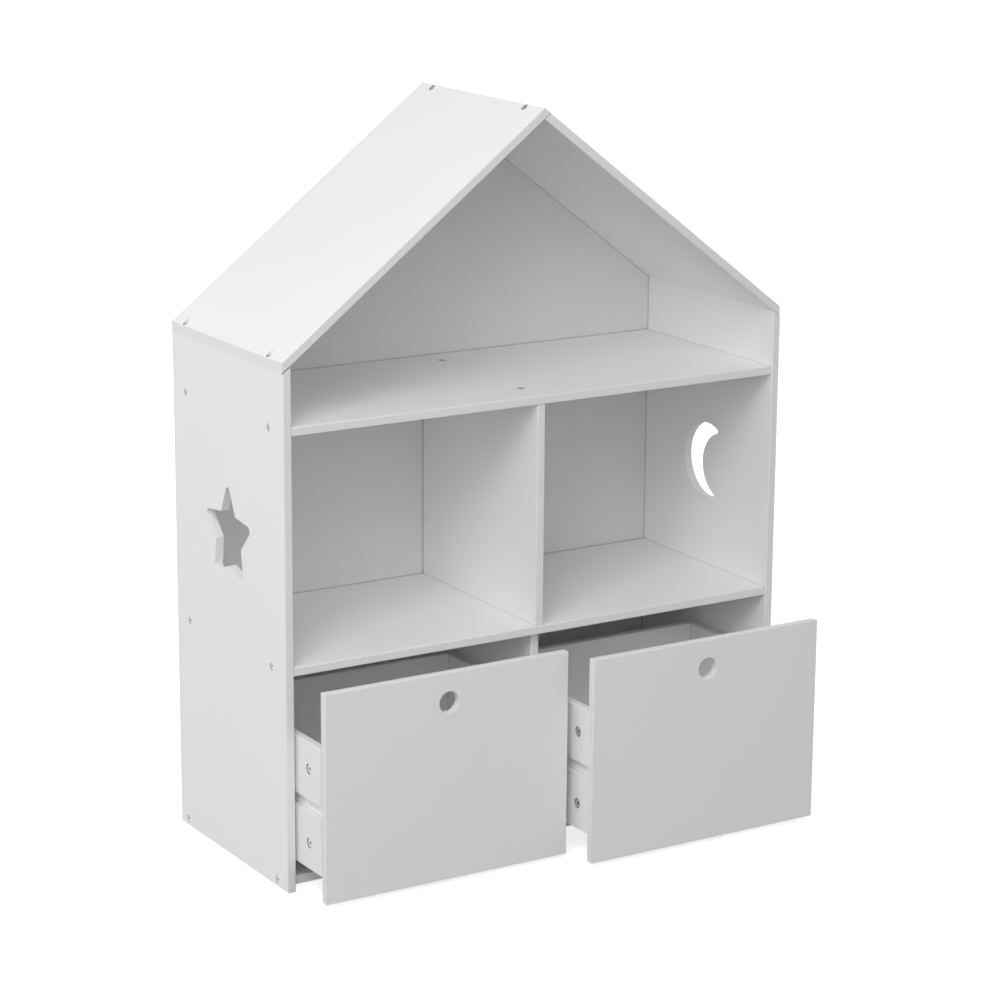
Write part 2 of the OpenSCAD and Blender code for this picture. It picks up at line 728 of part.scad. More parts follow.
module drawer_cam_locks(side) { place_drawer(side) color(ZINC) cam_places() cam_lock(); }
module drawer_cam_bolts(side) { place_drawer(side) color(STEEL) cam_bolt_places() cam_bolt(); }
module drawer_screws(side) { place_drawer(side) color(STEEL) box_screw_places() panel_screw(); }

module left_drawer_front() { drawer_front(LEFT); }
module left_drawer_left_side() { drawer_side(LEFT, LEFT); }
module left_drawer_right_side() { drawer_side(LEFT, RIGHT); }
module left_drawer_back() { drawer_back(LEFT); }
module left_drawer_floor() { drawer_floor(LEFT); }
module left_drawer_cam_locks() { drawer_cam_locks(LEFT); }
module left_drawer_cam_bolts() { drawer_cam_bolts(LEFT); }
module left_drawer_screws() { drawer_screws(LEFT); }
module right_drawer_front() { drawer_front(RIGHT); }
module right_drawer_left_side() { drawer_side(RIGHT, LEFT); }
module right_drawer_right_side() { drawer_side(RIGHT, RIGHT); }
module right_drawer_back() { drawer_back(RIGHT); }
module right_drawer_floor() { drawer_floor(RIGHT); }
module right_drawer_cam_locks() { drawer_cam_locks(RIGHT); }
module right_drawer_cam_bolts() { drawer_cam_bolts(RIGHT); }
module right_drawer_screws() { drawer_screws(RIGHT); }

left_side();
right_side();
left_roof();
right_roof();
upper_shelf();
middle_shelf();
bottom_board();
upper_divider();
lower_divider();
back_panel();
left_outer_runner();
left_inner_runner();
right_inner_runner();
right_outer_runner();
left_side_screws();
right_side_screws();
roof_screws();
upper_divider_screws();
lower_divider_screws();
runner_screws();
shelf_dowels();
divider_dowels();
left_drawer_front();
left_drawer_left_side();
left_drawer_right_side();
left_drawer_back();
left_drawer_floor();
left_drawer_cam_locks();
left_drawer_cam_bolts();
left_drawer_screws();
right_drawer_front();
right_drawer_left_side();
right_drawer_right_side();
right_drawer_back();
right_drawer_floor();
right_drawer_cam_locks();
right_drawer_cam_bolts();
right_drawer_screws();
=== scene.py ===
# %% [markdown]
# # A house-shaped bookcase in satin white
# This lesson dresses a bookcase for a child's room: two side panels, a pitched roof, shelves,
# two open cubbies and two drawers that stand open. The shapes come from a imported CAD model, and
# here they get their finishes, a floor, light and a camera.
# The CAD model is loaded first and never moved. It is the frame that everything else is set by.

# %% Load the model
import math

import bpy
from mathutils import Matrix, Vector

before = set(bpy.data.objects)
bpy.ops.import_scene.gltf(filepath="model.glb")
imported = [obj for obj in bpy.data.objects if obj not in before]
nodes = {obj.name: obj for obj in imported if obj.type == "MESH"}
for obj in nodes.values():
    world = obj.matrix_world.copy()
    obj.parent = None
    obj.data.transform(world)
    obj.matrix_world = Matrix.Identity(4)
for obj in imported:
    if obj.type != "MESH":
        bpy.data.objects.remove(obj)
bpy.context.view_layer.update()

print("pieces of the model:", len(nodes))

# %% [markdown]
# ## Where the camera stands
# Product pictures of furniture are taken from a few metres away with a long lens, so that the
# boards stay nearly parallel. The place, the turn and the lens were worked out from the long
# straight edges of the boards, so that each falls close to where it does in the picture. The
# picture was taken with a shifted lens, which keeps uprights parallel. A shift would push the
# bookcase out of the frame in other views, so this camera looks down a little instead.
# A camera looks along its own -Z. Its matrix has the directions right, up and back as columns,
# which is plainer to read than three angles.

# %% Camera
MM = 0.001
CAMERA_PLACE = Vector((-2199.7, -3566.2, 1559.7)) * MM
CAMERA_TURN = math.radians(-31.59)
CAMERA_PITCH = math.radians(14.49)
CAMERA_ROLL = math.radians(0.39)
LENS_MM = 110.64
SENSOR_MM = 36.0


def camera_matrix(place, turn, pitch, roll):
    """Right, up and back as columns, for a camera that looks forward and down by the pitch."""
    ahead = math.cos(pitch)
    forward = Vector((-math.sin(turn) * ahead, math.cos(turn) * ahead, -math.sin(pitch)))
    level = Vector((math.cos(turn), math.sin(turn), 0))
    upright = level.cross(forward)
    right = level * math.cos(roll) + upright * math.sin(roll)
    up = upright * math.cos(roll) - level * math.sin(roll)
    matrix = Matrix((right, up, -forward)).transposed().to_4x4()
    matrix.translation = place
    return matrix


camera_data = bpy.data.cameras.new("camera")
camera_data.lens = LENS_MM
camera_data.sensor_width = SENSOR_MM
camera = bpy.data.objects.new("camera", camera_data)
camera.matrix_world = camera_matrix(CAMERA_PLACE, CAMERA_TURN, CAMERA_PITCH, CAMERA_ROLL)
bpy.context.scene.collection.objects.link(camera)
bpy.context.scene.camera = camera
print("camera stands", round(camera.location.length, 2), "m from the middle of the floor")

# %% [markdown]
# ## Tools for the finishes
# A finish in Blender is a small graph of nodes that ends in a shader. Four helpers are enough for
# all of them. The first turns a hex colour, as a paint chart or a picture editor gives it, into
# the linear light that shaders count in. The second adds one node, sets its values and plugs in
# its links, so that each finish below reads as a list. The third makes an empty material, and the
# fourth turns the real size of a pattern into the scale of a noise.
# A Mix node keeps separate sockets for each kind of value, so those are given by number: 0 is the
# share, 2 and 3 are two plain numbers with their result at 0, and 6 and 7 are two colours with
# their result at 2. A Map Range node turns one span of values into another. Where one of the two
# spans isn't given, it runs from 0 to 1.

# %% Helpers for colours and nodes
def linear(hex_colour):
    """An sRGB hex colour as linear red, green and blue with alpha 1, by the sRGB standard's curve."""
    channels = [int(hex_colour[i:i + 2], 16) / 255 for i in (1, 3, 5)]
    bright = [c / 12.92 if c <= 0.04045 else ((c + 0.055) / 1.055) ** 2.4 for c in channels]
    return (*bright, 1.0)


def add(finish, kind, settings=(), links=()):
    """One node: settings are its own properties or its input values, links are outputs to plug in."""
    node = finish.node_tree.nodes.new(kind)
    for name, value in dict(settings).items():
        if isinstance(name, str) and hasattr(node, name):
            setattr(node, name, value)
        else:
            node.inputs[name].default_value = value
    for name, output in dict(links).items():
        finish.node_tree.links.new(output, node.inputs[name])
    return node


def new_finish(name):
    """A material without any nodes yet."""
    finish = bpy.data.materials.new(name)
    finish.use_nodes = True
    finish.node_tree.nodes.clear()
    return finish


def per_metre(size_mm):
    """Blender's noise changes about once per unit, so its scale is one over the real size."""
    return 1 / (size_mm * MM)


print("linear value of a mid grey:", round(linear("#808080")[0], 3))

# %% [markdown]
# ## Painted MDF: the sprayed coat
# The boards are 12 mm MDF, sprayed with a satin lacquer. The eye reads three things in it. The
# colour is a clean neutral white that drifts by a percent or so, because no spray coat is quite
# even. The gloss is soft and slightly uneven, from the sanding between coats. And the surface has
# orange peel: shallow bumps a few millimetres apart that the droplets leave.
# White lacquer returns nine tenths of the light. That matters more than it seems to: light that
# enters a cubby bounces from board to board, and a darker white would leave it gloomy.
# The sawn edges of MDF drink the paint, so they stay a little rougher and duller than the faces,
# and bundles of fibre show through. An edge is found by its direction: each board has one
# thickness direction, and whatever doesn't face along it is an edge.

# %% The sprayed coat
PAINT_LIGHT = "#F6F6F6"
PAINT_DARK = "#F2F2F2"
EDGE_TINT = "#E6E6E5"
EDGE_FROM = (0.95, 0.6)    # how far a surface points along the thickness: on a face, and on an edge


def edge_of_board(finish, facing, thickness_direction):
    """0 on the two faces of a board, and 1 on its sawn edges."""
    across = add(finish, "ShaderNodeVectorMath", {"operation": "DOT_PRODUCT", 1: thickness_direction},
                 {0: facing})
    along = add(finish, "ShaderNodeMath", {"operation": "ABSOLUTE"}, {0: across.outputs["Value"]})
    edge = add(finish, "ShaderNodeMapRange", {"From Min": EDGE_FROM[0], "From Max": EDGE_FROM[1]},
               {"Value": along.outputs[0]})
    return edge.outputs[0]


def sprayed_colour(finish, drift, fibre, edge):
    """White that drifts over the faces and is duller where the fibres of an edge show."""
    face = add(finish, "ShaderNodeMix",
               {"data_type": "RGBA", 6: linear(PAINT_DARK), 7: linear(PAINT_LIGHT)}, {0: drift})
    fibres = add(finish, "ShaderNodeMath", {"operation": "MULTIPLY"}, {0: edge, 1: fibre})
    sprayed = add(finish, "ShaderNodeMix", {"data_type": "RGBA", 7: linear(EDGE_TINT)},
                  {0: fibres.outputs[0], 6: face.outputs[2]})
    return sprayed.outputs[2]


print("white returns", [round(linear(tint)[0], 2) for tint in (PAINT_DARK, PAINT_LIGHT)], "of the light")

# %% [markdown]
# ## Painted MDF: rubbed arrises
# Along each arris, where hands and cloths rub, the satin is polished a little. A Bevel node finds
# it: it gives the direction that a rounded edge would have, and where that differs from the real
# direction, an arris is near. The rubbed band is smoother, so it catches a fine line of light. It is
# also painted a shade lighter, a painted highlight along the arris. Both come and go with the drift
# of the coat.

# %% Rubbed arrises with a painted highlight
RUB_WIDTH_MM = 1.4
# painted highlight: the rubbed band of an arris is drawn this much lighter than the paint
ARRIS_HIGHLIGHT_TINT = "#FBFBFA"
ARRIS_FROM = (0.995, 0.85)    # how well the two directions agree, off an arris and on it
NEAR_SAMPLES = 4              # rays that Bevel and Ambient Occlusion nodes send out round a point


def rubbed_arris_highlight(finish, facing, drift):
    """0 away from the arrises, and up to 1 where an arris is rubbed most and its painted highlight is
    brightest.
    """
    rounded = add(finish, "ShaderNodeBevel", {"samples": NEAR_SAMPLES, "Radius": RUB_WIDTH_MM * MM})
    agree = add(finish, "ShaderNodeVectorMath", {"operation": "DOT_PRODUCT"},
                {0: rounded.outputs[0], 1: facing})
    arris = add(finish, "ShaderNodeMapRange", {"From Min": ARRIS_FROM[0], "From Max": ARRIS_FROM[1]},
                {"Value": agree.outputs["Value"]})
    rub_and_highlight = add(finish, "ShaderNodeMath", {"operation": "MULTIPLY"}, {0: arris.outputs[0], 1: drift})
    return rub_and_highlight.outputs[0]


print("rubbed band in mm:", RUB_WIDTH_MM)

# %% [markdown]
# ## Painted MDF: painted shade in seams and screw holes
# Where two boards meet, the joint isn't filled, and it is painted as a fine dark line: painted
# shade. An Ambient Occlusion node finds such places: it measures how much of the space
# round a point is free within a few millimetres. An open corner is half free and is tinted
# lightly, and squaring the tint keeps most of it to the depths of a joint.
# On the wall of a screw hole the painted shade starts sooner, so the hole shows
# as a dark ring round the screw head. A round wall is told from a flat one by its direction: the
# fourth powers of the three parts of a direction add up to one only where it runs straight along
# an axis. Rounded arrises and the slopes under the roof pass for round as well, which gives their
# joints a little more painted shade and does no harm.

# %% Painted shade in seams and screw holes
# painted shade: seams, corners and the walls of screw holes are darkened towards this colour
PAINTED_SHADE_TINT = "#403E3C"
SEAM_REACH_MM = 3.0
SEAM_FREE = (0.85, 0.15)    # free space where the tint starts, and where it is full
SEAM_POWER = 2.0            # squares the tint of a seam
HOLE_FREE = (0.97, 0.65)    # the same for the walls of screw holes
ROUND_FROM = (0.99, 0.93)   # sum of fourth powers on a flat wall, and on a round one


def painted_seam_shade(finish, facing, edge):
    """Painted shade: 0 on open faces, and up to 1 deep in a joint and on the walls of the screw holes."""
    space = add(finish, "ShaderNodeAmbientOcclusion",
                {"samples": NEAR_SAMPLES, "Distance": SEAM_REACH_MM * MM}).outputs["AO"]
    short = add(finish, "ShaderNodeMapRange", {"From Min": SEAM_FREE[0], "From Max": SEAM_FREE[1]},
                {"Value": space})
    seam = add(finish, "ShaderNodeMath", {"operation": "POWER", 1: SEAM_POWER}, {0: short.outputs[0]})
    shorter = add(finish, "ShaderNodeMapRange", {"From Min": HOLE_FREE[0], "From Max": HOLE_FREE[1]},
                  {"Value": space})
    squares = add(finish, "ShaderNodeVectorMath", {"operation": "MULTIPLY"}, {0: facing, 1: facing})
    powers = add(finish, "ShaderNodeVectorMath", {"operation": "DOT_PRODUCT"},
                 {0: squares.outputs[0], 1: squares.outputs[0]})
    curved = add(finish, "ShaderNodeMapRange", {"From Min": ROUND_FROM[0], "From Max": ROUND_FROM[1]},
                 {"Value": powers.outputs["Value"]})
    round_wall = add(finish, "ShaderNodeMath", {"operation": "MULTIPLY"}, {0: curved.outputs[0], 1: edge})
    hole = add(finish, "ShaderNodeMath", {"operation": "MULTIPLY"},
               {0: shorter.outputs[0], 1: round_wall.outputs[0]})
    painted_shade = add(finish, "ShaderNodeMath", {"operation": "MAXIMUM"}, {0: seam.outputs[0], 1: hole.outputs[0]})
    return painted_shade.outputs[0]


print("dust reaches", SEAM_REACH_MM, "mm out of a seam")

# %% [markdown]
# ## Painted MDF: the finish
# The coat, the rub with its painted highlight, and the painted shade in the seams are laid over each other
# in that order.
# Roughness follows the same order. Two Bump nodes in a row give the orange peel everywhere and the
# raised fibres on the edges alone. The finish is made once for each direction in which a board's
# thickness runs, because that is how its edges are found.

# %% Painted MDF
DRIFT_MM = 160.0       # how far apart a spray coat thins and thickens
DRIFT_LAYERS = 3.0     # finer layers of noise laid over the first, here and in the names below
ORANGE_PEEL_MM = 3.0   # real droplets leave 1 to 3 mm, and finer ones wouldn't show
ORANGE_PEEL_HEIGHT_MM = 0.012
PEEL_LAYERS = 1.0
FIBRE_MM = 1.1         # fibre bundles in a sawn edge
FIBRE_HEIGHT_MM = 0.03
FIBRE_LAYERS = 2.0
PAINT_ROUGHNESS = (0.42, 0.52)
EDGE_ROUGHNESS = 0.6
RUBBED_ROUGHNESS = 0.3
PAINT_IOR = 1.5


def painted_mdf(name, thickness_direction):
    """Satin lacquer on MDF, for boards whose thickness runs along the given direction."""
    finish = new_finish(name)
    place = add(finish, "ShaderNodeTexCoord").outputs["Object"]
    facing = add(finish, "ShaderNodeNewGeometry").outputs["Normal"]
    drift = add(finish, "ShaderNodeTexNoise", {"Scale": per_metre(DRIFT_MM), "Detail": DRIFT_LAYERS},
                {"Vector": place}).outputs["Fac"]
    peel = add(finish, "ShaderNodeTexNoise", {"Scale": per_metre(ORANGE_PEEL_MM), "Detail": PEEL_LAYERS},
               {"Vector": place}).outputs["Fac"]
    fibre = add(finish, "ShaderNodeTexNoise", {"Scale": per_metre(FIBRE_MM), "Detail": FIBRE_LAYERS},
                {"Vector": place}).outputs["Fac"]
    edge = edge_of_board(finish, facing, thickness_direction)
    sprayed = sprayed_colour(finish, drift, fibre, edge)
    rub_and_highlight = rubbed_arris_highlight(finish, facing, drift)
    # painted highlight: the rubbed band of each arris is mixed towards a lighter white
    unshaded = add(finish, "ShaderNodeMix", {"data_type": "RGBA", 7: linear(ARRIS_HIGHLIGHT_TINT)}, {0: rub_and_highlight, 6: sprayed})
    # painted shade in seams, corners and screw holes, laid over the painted highlight
    painted_shade = painted_seam_shade(finish, facing, edge)
    colour = add(finish, "ShaderNodeMix", {"data_type": "RGBA", 7: linear(PAINTED_SHADE_TINT)},
                 {0: painted_shade, 6: unshaded.outputs[2]})
    face_rough = add(finish, "ShaderNodeMapRange",
                     {"To Min": PAINT_ROUGHNESS[0], "To Max": PAINT_ROUGHNESS[1]}, {"Value": drift})
    unrubbed = add(finish, "ShaderNodeMix", {"data_type": "FLOAT", 3: EDGE_ROUGHNESS},
                   {0: edge, 2: face_rough.outputs[0]})
    rough = add(finish, "ShaderNodeMix", {"data_type": "FLOAT", 3: RUBBED_ROUGHNESS},
                {0: rub_and_highlight, 2: unrubbed.outputs[0]})
    peel_bump = add(finish, "ShaderNodeBump", {"Distance": ORANGE_PEEL_HEIGHT_MM * MM}, {"Height": peel})
    edge_bump = add(finish, "ShaderNodeBump", {"Distance": FIBRE_HEIGHT_MM * MM},
                    {"Height": fibre, "Strength": edge, "Normal": peel_bump.outputs[0]})
    lacquer = add(finish, "ShaderNodeBsdfPrincipled", {"IOR": PAINT_IOR},
                  {"Base Color": colour.outputs[2], "Roughness": rough.outputs[0],
                   "Normal": edge_bump.outputs[0]})
    add(finish, "ShaderNodeOutputMaterial", {}, {"Surface": lacquer.outputs[0]})
    return finish


ROOF_PITCH = math.radians(37.5)    # as in the model
LEFT_SLOPE = (-math.sin(ROOF_PITCH), 0.0, math.cos(ROOF_PITCH))
RIGHT_SLOPE = (math.sin(ROOF_PITCH), 0.0, math.cos(ROOF_PITCH))
upright_paint = painted_mdf("painted_mdf_upright", (1.0, 0.0, 0.0))
front_paint = painted_mdf("painted_mdf_front", (0.0, 1.0, 0.0))
level_paint = painted_mdf("painted_mdf_level", (0.0, 0.0, 1.0))
left_roof_paint = painted_mdf("painted_mdf_left_slope", LEFT_SLOPE)
right_roof_paint = painted_mdf("painted_mdf_right_slope", RIGHT_SLOPE)
PAINTED = (upright_paint, front_paint, level_paint, left_roof_paint, right_roof_paint)
print("painted finishes:", ", ".join(paint.name for paint in PAINTED))

# %% [markdown]
# ## White fibreboard
# The back panel and the drawer floors are 3 mm fibreboard with a thin white coat on the face. The
# coat is a shade greyer and flatter than the lacquer, with a faint pressed grain from the plates
# that the board was made between. A stretched noise gives that grain a direction.
# The panels stand loose in their grooves. The line where they meet the boards is painted darker
# than any other seam, as painted shade, and it frames each cubby.

# %% White fibreboard
BACK_LIGHT = "#E1E1E1"
BACK_DARK = "#DBDBDB"
COAT_LAYERS = 2.0
BACK_GRAIN_MM = (9.0, 9.0, 1.6)
FLOOR_GRAIN_MM = (9.0, 1.6, 9.0)
GRAIN_LAYERS = 3.0
PRESS_HEIGHT_MM = 0.008
BACK_ROUGHNESS = (0.55, 0.68)
BACK_SEAM_REACH_MM = 2.5
BACK_SEAM_FREE = (0.85, 0.2)
STRETCHED = 1.0    # scale of a noise whose pattern a Mapping node has already scaled


def white_fibreboard(name, grain_mm):
    """Thin coated board, whose pressed grain is long where the size in millimetres is long."""
    finish = new_finish(name)
    place = add(finish, "ShaderNodeTexCoord").outputs["Object"]
    stretched = add(finish, "ShaderNodeMapping", {"Scale": [per_metre(size) for size in grain_mm]},
                    {"Vector": place})
    grain = add(finish, "ShaderNodeTexNoise", {"Scale": STRETCHED, "Detail": GRAIN_LAYERS},
                {"Vector": stretched.outputs[0]})
    drift = add(finish, "ShaderNodeTexNoise", {"Scale": per_metre(DRIFT_MM), "Detail": COAT_LAYERS},
                {"Vector": place})
    unshaded = add(finish, "ShaderNodeMix",
                {"data_type": "RGBA", 6: linear(BACK_DARK), 7: linear(BACK_LIGHT)},
                {0: drift.outputs["Fac"]})
    # painted shade along the seams where the panel meets the boards
    space = add(finish, "ShaderNodeAmbientOcclusion",
                {"samples": NEAR_SAMPLES, "Distance": BACK_SEAM_REACH_MM * MM})
    seam = add(finish, "ShaderNodeMapRange",
               {"From Min": BACK_SEAM_FREE[0], "From Max": BACK_SEAM_FREE[1]},
               {"Value": space.outputs["AO"]})
    colour = add(finish, "ShaderNodeMix", {"data_type": "RGBA", 7: linear(PAINTED_SHADE_TINT)},
                 {0: seam.outputs[0], 6: unshaded.outputs[2]})
    rough = add(finish, "ShaderNodeMapRange", {"To Min": BACK_ROUGHNESS[0], "To Max": BACK_ROUGHNESS[1]},
                {"Value": grain.outputs["Fac"]})
    bump = add(finish, "ShaderNodeBump", {"Distance": PRESS_HEIGHT_MM * MM},
               {"Height": grain.outputs["Fac"]})
    coat = add(finish, "ShaderNodeBsdfPrincipled", {"IOR": PAINT_IOR},
               {"Base Color": colour.outputs[2], "Roughness": rough.outputs[0],
                "Normal": bump.outputs[0]})
    add(finish, "ShaderNodeOutputMaterial", {}, {"Surface": coat.outputs[0]})
    return finish


back_board = white_fibreboard("white_fibreboard_back", BACK_GRAIN_MM)
floor_board = white_fibreboard("white_fibreboard_floor", FLOOR_GRAIN_MM)
print("fibreboard finishes:", back_board.name, floor_board.name)

# %% [markdown]
# ## Beech
# The runner battens and the dowels are bare planed beech. Beech is pale and pinkish brown, with
# faint growth bands along the grain and short darker flecks, which are its rays. Both are noise
# stretched along Y, which is the length of the battens, one wide and one fine. The dowels stand
# out of sight in the boards, so they share the finish of the battens.

# %% Beech
BEECH_PALE = "#D9BC94"
BEECH_BAND = "#C9A57A"
BEECH_FLECK = "#A97F58"
BAND_MM = (4.0, 90.0, 4.0)
FLECK_MM = (0.8, 5.0, 0.8)
FLECK_FROM = (0.62, 0.72)    # noise values where a fleck starts, and where it is full
WOOD_LAYERS = 2.0
BEECH_ROUGHNESS = (0.55, 0.68)
PORE_HEIGHT_MM = 0.03


def bare_beech(name):
    """Planed beech with its grain along Y."""
    finish = new_finish(name)
    place = add(finish, "ShaderNodeTexCoord").outputs["Object"]
    long_bands = add(finish, "ShaderNodeMapping", {"Scale": [per_metre(size) for size in BAND_MM]},
                     {"Vector": place})
    band = add(finish, "ShaderNodeTexNoise", {"Scale": STRETCHED, "Detail": WOOD_LAYERS},
               {"Vector": long_bands.outputs[0]})
    short_flecks = add(finish, "ShaderNodeMapping", {"Scale": [per_metre(size) for size in FLECK_MM]},
                       {"Vector": place})
    fleck = add(finish, "ShaderNodeTexNoise", {"Scale": STRETCHED, "Detail": WOOD_LAYERS},
                {"Vector": short_flecks.outputs[0]})
    wood = add(finish, "ShaderNodeMix",
               {"data_type": "RGBA", 6: linear(BEECH_PALE), 7: linear(BEECH_BAND)},
               {0: band.outputs["Fac"]})
    rays = add(finish, "ShaderNodeMapRange", {"From Min": FLECK_FROM[0], "From Max": FLECK_FROM[1]},
               {"Value": fleck.outputs["Fac"]})
    colour = add(finish, "ShaderNodeMix", {"data_type": "RGBA", 7: linear(BEECH_FLECK)},
                 {0: rays.outputs[0], 6: wood.outputs[2]})
    rough = add(finish, "ShaderNodeMapRange",
                {"To Min": BEECH_ROUGHNESS[0], "To Max": BEECH_ROUGHNESS[1]},
                {"Value": fleck.outputs["Fac"]})
    bump = add(finish, "ShaderNodeBump", {"Distance": PORE_HEIGHT_MM * MM},
               {"Height": fleck.outputs["Fac"]})
    planed = add(finish, "ShaderNodeBsdfPrincipled", {},
                 {"Base Color": colour.outputs[2], "Roughness": rough.outputs[0],
                  "Normal": bump.outputs[0]})
    add(finish, "ShaderNodeOutputMaterial", {}, {"Surface": planed.outputs[0]})
    return finish


beech = bare_beech("bare_beech")
print("beech bands every", BAND_MM[0], "mm")

# %% [markdown]
# ## Zinc-plated steel and cast zinc
# The screws are steel with a thin bright zinc coat, and the cam locks are cast zinc. Both are
# metals, so the colour belongs to the reflection and the IOR stays at its default. The plated
# screws are bright with a slightly cloudy gloss. The cast zinc is duller and has the fine pits of
# the mould. In the recess for the driver and round the rim the metal is painted dark, as painted
# shade where little space is open, so a head reads as a pale disc with a dark ring and a dark middle.
# The metallic value falls as the painted shade grows.

# %% Metals
PLATED_BRIGHT = "#DADADB"
PLATED_CLOUD = "#BCBCBE"
PLATED_ROUGHNESS = (0.35, 0.5)
CAST_BRIGHT = "#D6D6D7"
CAST_DARK = "#B8B8BA"
CAST_ROUGHNESS = (0.45, 0.6)
# painted shade in the recesses and round the rims of the heads
RECESS_SHADE = "#161514"
RECESS_SHADE_REACH_MM = 2.0
RECESS_SHADE_FREE = (0.96, 0.65)
CLOUD_MM = 1.5
CLOUD_LAYERS = 2.0
PIT_MM = 0.5
PIT_LAYERS = 1.0
CAST_PIT_HEIGHT_MM = 0.03
PLATED_PIT_HEIGHT_MM = 0.01


def bare_metal(name, bright, dark, roughness, pit_height_mm):
    """A metal whose gloss and colour cloud over, with fine pits and painted shade in its recesses."""
    finish = new_finish(name)
    place = add(finish, "ShaderNodeTexCoord").outputs["Object"]
    cloud = add(finish, "ShaderNodeTexNoise", {"Scale": per_metre(CLOUD_MM), "Detail": CLOUD_LAYERS},
                {"Vector": place})
    pits = add(finish, "ShaderNodeTexNoise", {"Scale": per_metre(PIT_MM), "Detail": PIT_LAYERS},
               {"Vector": place})
    unshaded = add(finish, "ShaderNodeMix", {"data_type": "RGBA", 6: linear(dark), 7: linear(bright)},
                {0: cloud.outputs["Fac"]})
    # painted shade: the metal is darkened in the drive recess and round the rim
    space = add(finish, "ShaderNodeAmbientOcclusion",
                {"samples": NEAR_SAMPLES, "Distance": RECESS_SHADE_REACH_MM * MM})
    recess_shade = add(finish, "ShaderNodeMapRange", {"From Min": RECESS_SHADE_FREE[0], "From Max": RECESS_SHADE_FREE[1]},
                {"Value": space.outputs["AO"]})
    colour = add(finish, "ShaderNodeMix", {"data_type": "RGBA", 7: linear(RECESS_SHADE)},
                 {0: recess_shade.outputs[0], 6: unshaded.outputs[2]})
    metal_share = add(finish, "ShaderNodeMath", {"operation": "SUBTRACT", 0: 1.0}, {1: recess_shade.outputs[0]})
    rough = add(finish, "ShaderNodeMapRange", {"To Min": roughness[0], "To Max": roughness[1]},
                {"Value": cloud.outputs["Fac"]})
    bump = add(finish, "ShaderNodeBump", {"Distance": pit_height_mm * MM},
               {"Height": pits.outputs["Fac"]})
    metal = add(finish, "ShaderNodeBsdfPrincipled", {},
                {"Base Color": colour.outputs[2], "Metallic": metal_share.outputs[0],
                 "Roughness": rough.outputs[0], "Normal": bump.outputs[0]})
    add(finish, "ShaderNodeOutputMaterial", {}, {"Surface": metal.outputs[0]})
    return finish


plated_steel = bare_metal("zinc_plated_steel", PLATED_BRIGHT, PLATED_CLOUD, PLATED_ROUGHNESS,
                          PLATED_PIT_HEIGHT_MM)
cast_zinc = bare_metal("cast_zinc", CAST_BRIGHT, CAST_DARK, CAST_ROUGHNESS, CAST_PIT_HEIGHT_MM)
print("metals:", plated_steel.name, cast_zinc.name)

# %% [markdown]
# ## A finish for each piece
# Each piece of the model keeps its shape and gets its finish through its material slot. A table
# says which, by the piece's name. Pieces that aren't in it are told by what kind their name says
# they are: battens and dowels are beech, and all screws and bolts are plated steel.

# %% Finishes
FINISH_OF = {
    "left_side": upright_paint, "right_side": upright_paint,
    "left_roof": left_roof_paint, "right_roof": right_roof_paint,
    "upper_shelf": level_paint, "middle_shelf": level_paint, "bottom_board": level_paint,
    "upper_divider": upright_paint, "lower_divider": upright_paint,
    "back_panel": back_board,
}
for drawer in ("left_drawer", "right_drawer"):
    FINISH_OF[drawer + "_front"] = front_paint
    FINISH_OF[drawer + "_back"] = front_paint
    FINISH_OF[drawer + "_left_side"] = upright_paint
    FINISH_OF[drawer + "_right_side"] = upright_paint
    FINISH_OF[drawer + "_floor"] = floor_board
    FINISH_OF[drawer + "_cam_locks"] = cast_zinc


def finish_for(name):
    """The finish of a piece: from the table, or by what kind of piece its name says it is."""
    if name in FINISH_OF:
        return FINISH_OF[name]
    if "dowels" in name or ("runner" in name and "screws" not in name):
        return beech
    return plated_steel


for name, piece in nodes.items():
    piece.data.materials.clear()
    piece.data.materials.append(finish_for(name))
print("finishes given to", len(nodes), "pieces")

# %% [markdown]
# ## Sanded arrises
# The painted boards also get two modifiers. The model's faces come with their borders unjoined,
# so Weld joins them first. Then Bevel takes the sharpness off the remaining arrises, such as round
# the cut-outs and the finger holes, as sanding does before the paint goes on. A crisp highlight
# along such an edge is what makes a board look like a board.

# %% Sanded arrises
WELD_MM = 0.01
ARRIS_MM = 0.5
ARRIS_SEGMENTS = 2
ARRIS_ANGLE = math.radians(40)


def sand_arrises(piece):
    """Joins the borders of the piece's faces and rounds what sharp edges are left."""
    weld = piece.modifiers.new("weld", "WELD")
    weld.merge_threshold = WELD_MM * MM
    bevel = piece.modifiers.new("sanded_arris", "BEVEL")
    bevel.width = ARRIS_MM * MM
    bevel.segments = ARRIS_SEGMENTS
    bevel.limit_method = "ANGLE"
    bevel.angle_limit = ARRIS_ANGLE
    bevel.harden_normals = True


boards = [piece for name, piece in nodes.items() if finish_for(name) in PAINTED]
for board in boards:
    sand_arrises(board)
print("pieces with sanded arrises:", len(boards))

# %% [markdown]
# ## Floor and wall
# The picture has the bookcase on plain white. A white studio is lit so strongly that it is
# brighter than anything that stands in it, and dark flags keep that light off the object. Here the
# paper glows by itself. The camera and the reflections see it, so that the satin paint and the
# screw heads have something bright to mirror, but it throws no soft light back at the boards and
# blocks none. It still takes their soft shadows.
# The paper is one sheet, as in a photographer's cove: a round floor whose rim bends up into a
# wall, so that no horizon shows from a low place. Its outline is a straight line, a quarter of a
# circle and another straight line, turned about the middle.

# %% Cove
FLOOR_RADIUS_M = 20.0
BEND_RADIUS_M = 6.0
WALL_TOP_M = 30.0
BEND_STEPS = 12
ROUND_STEPS = 96

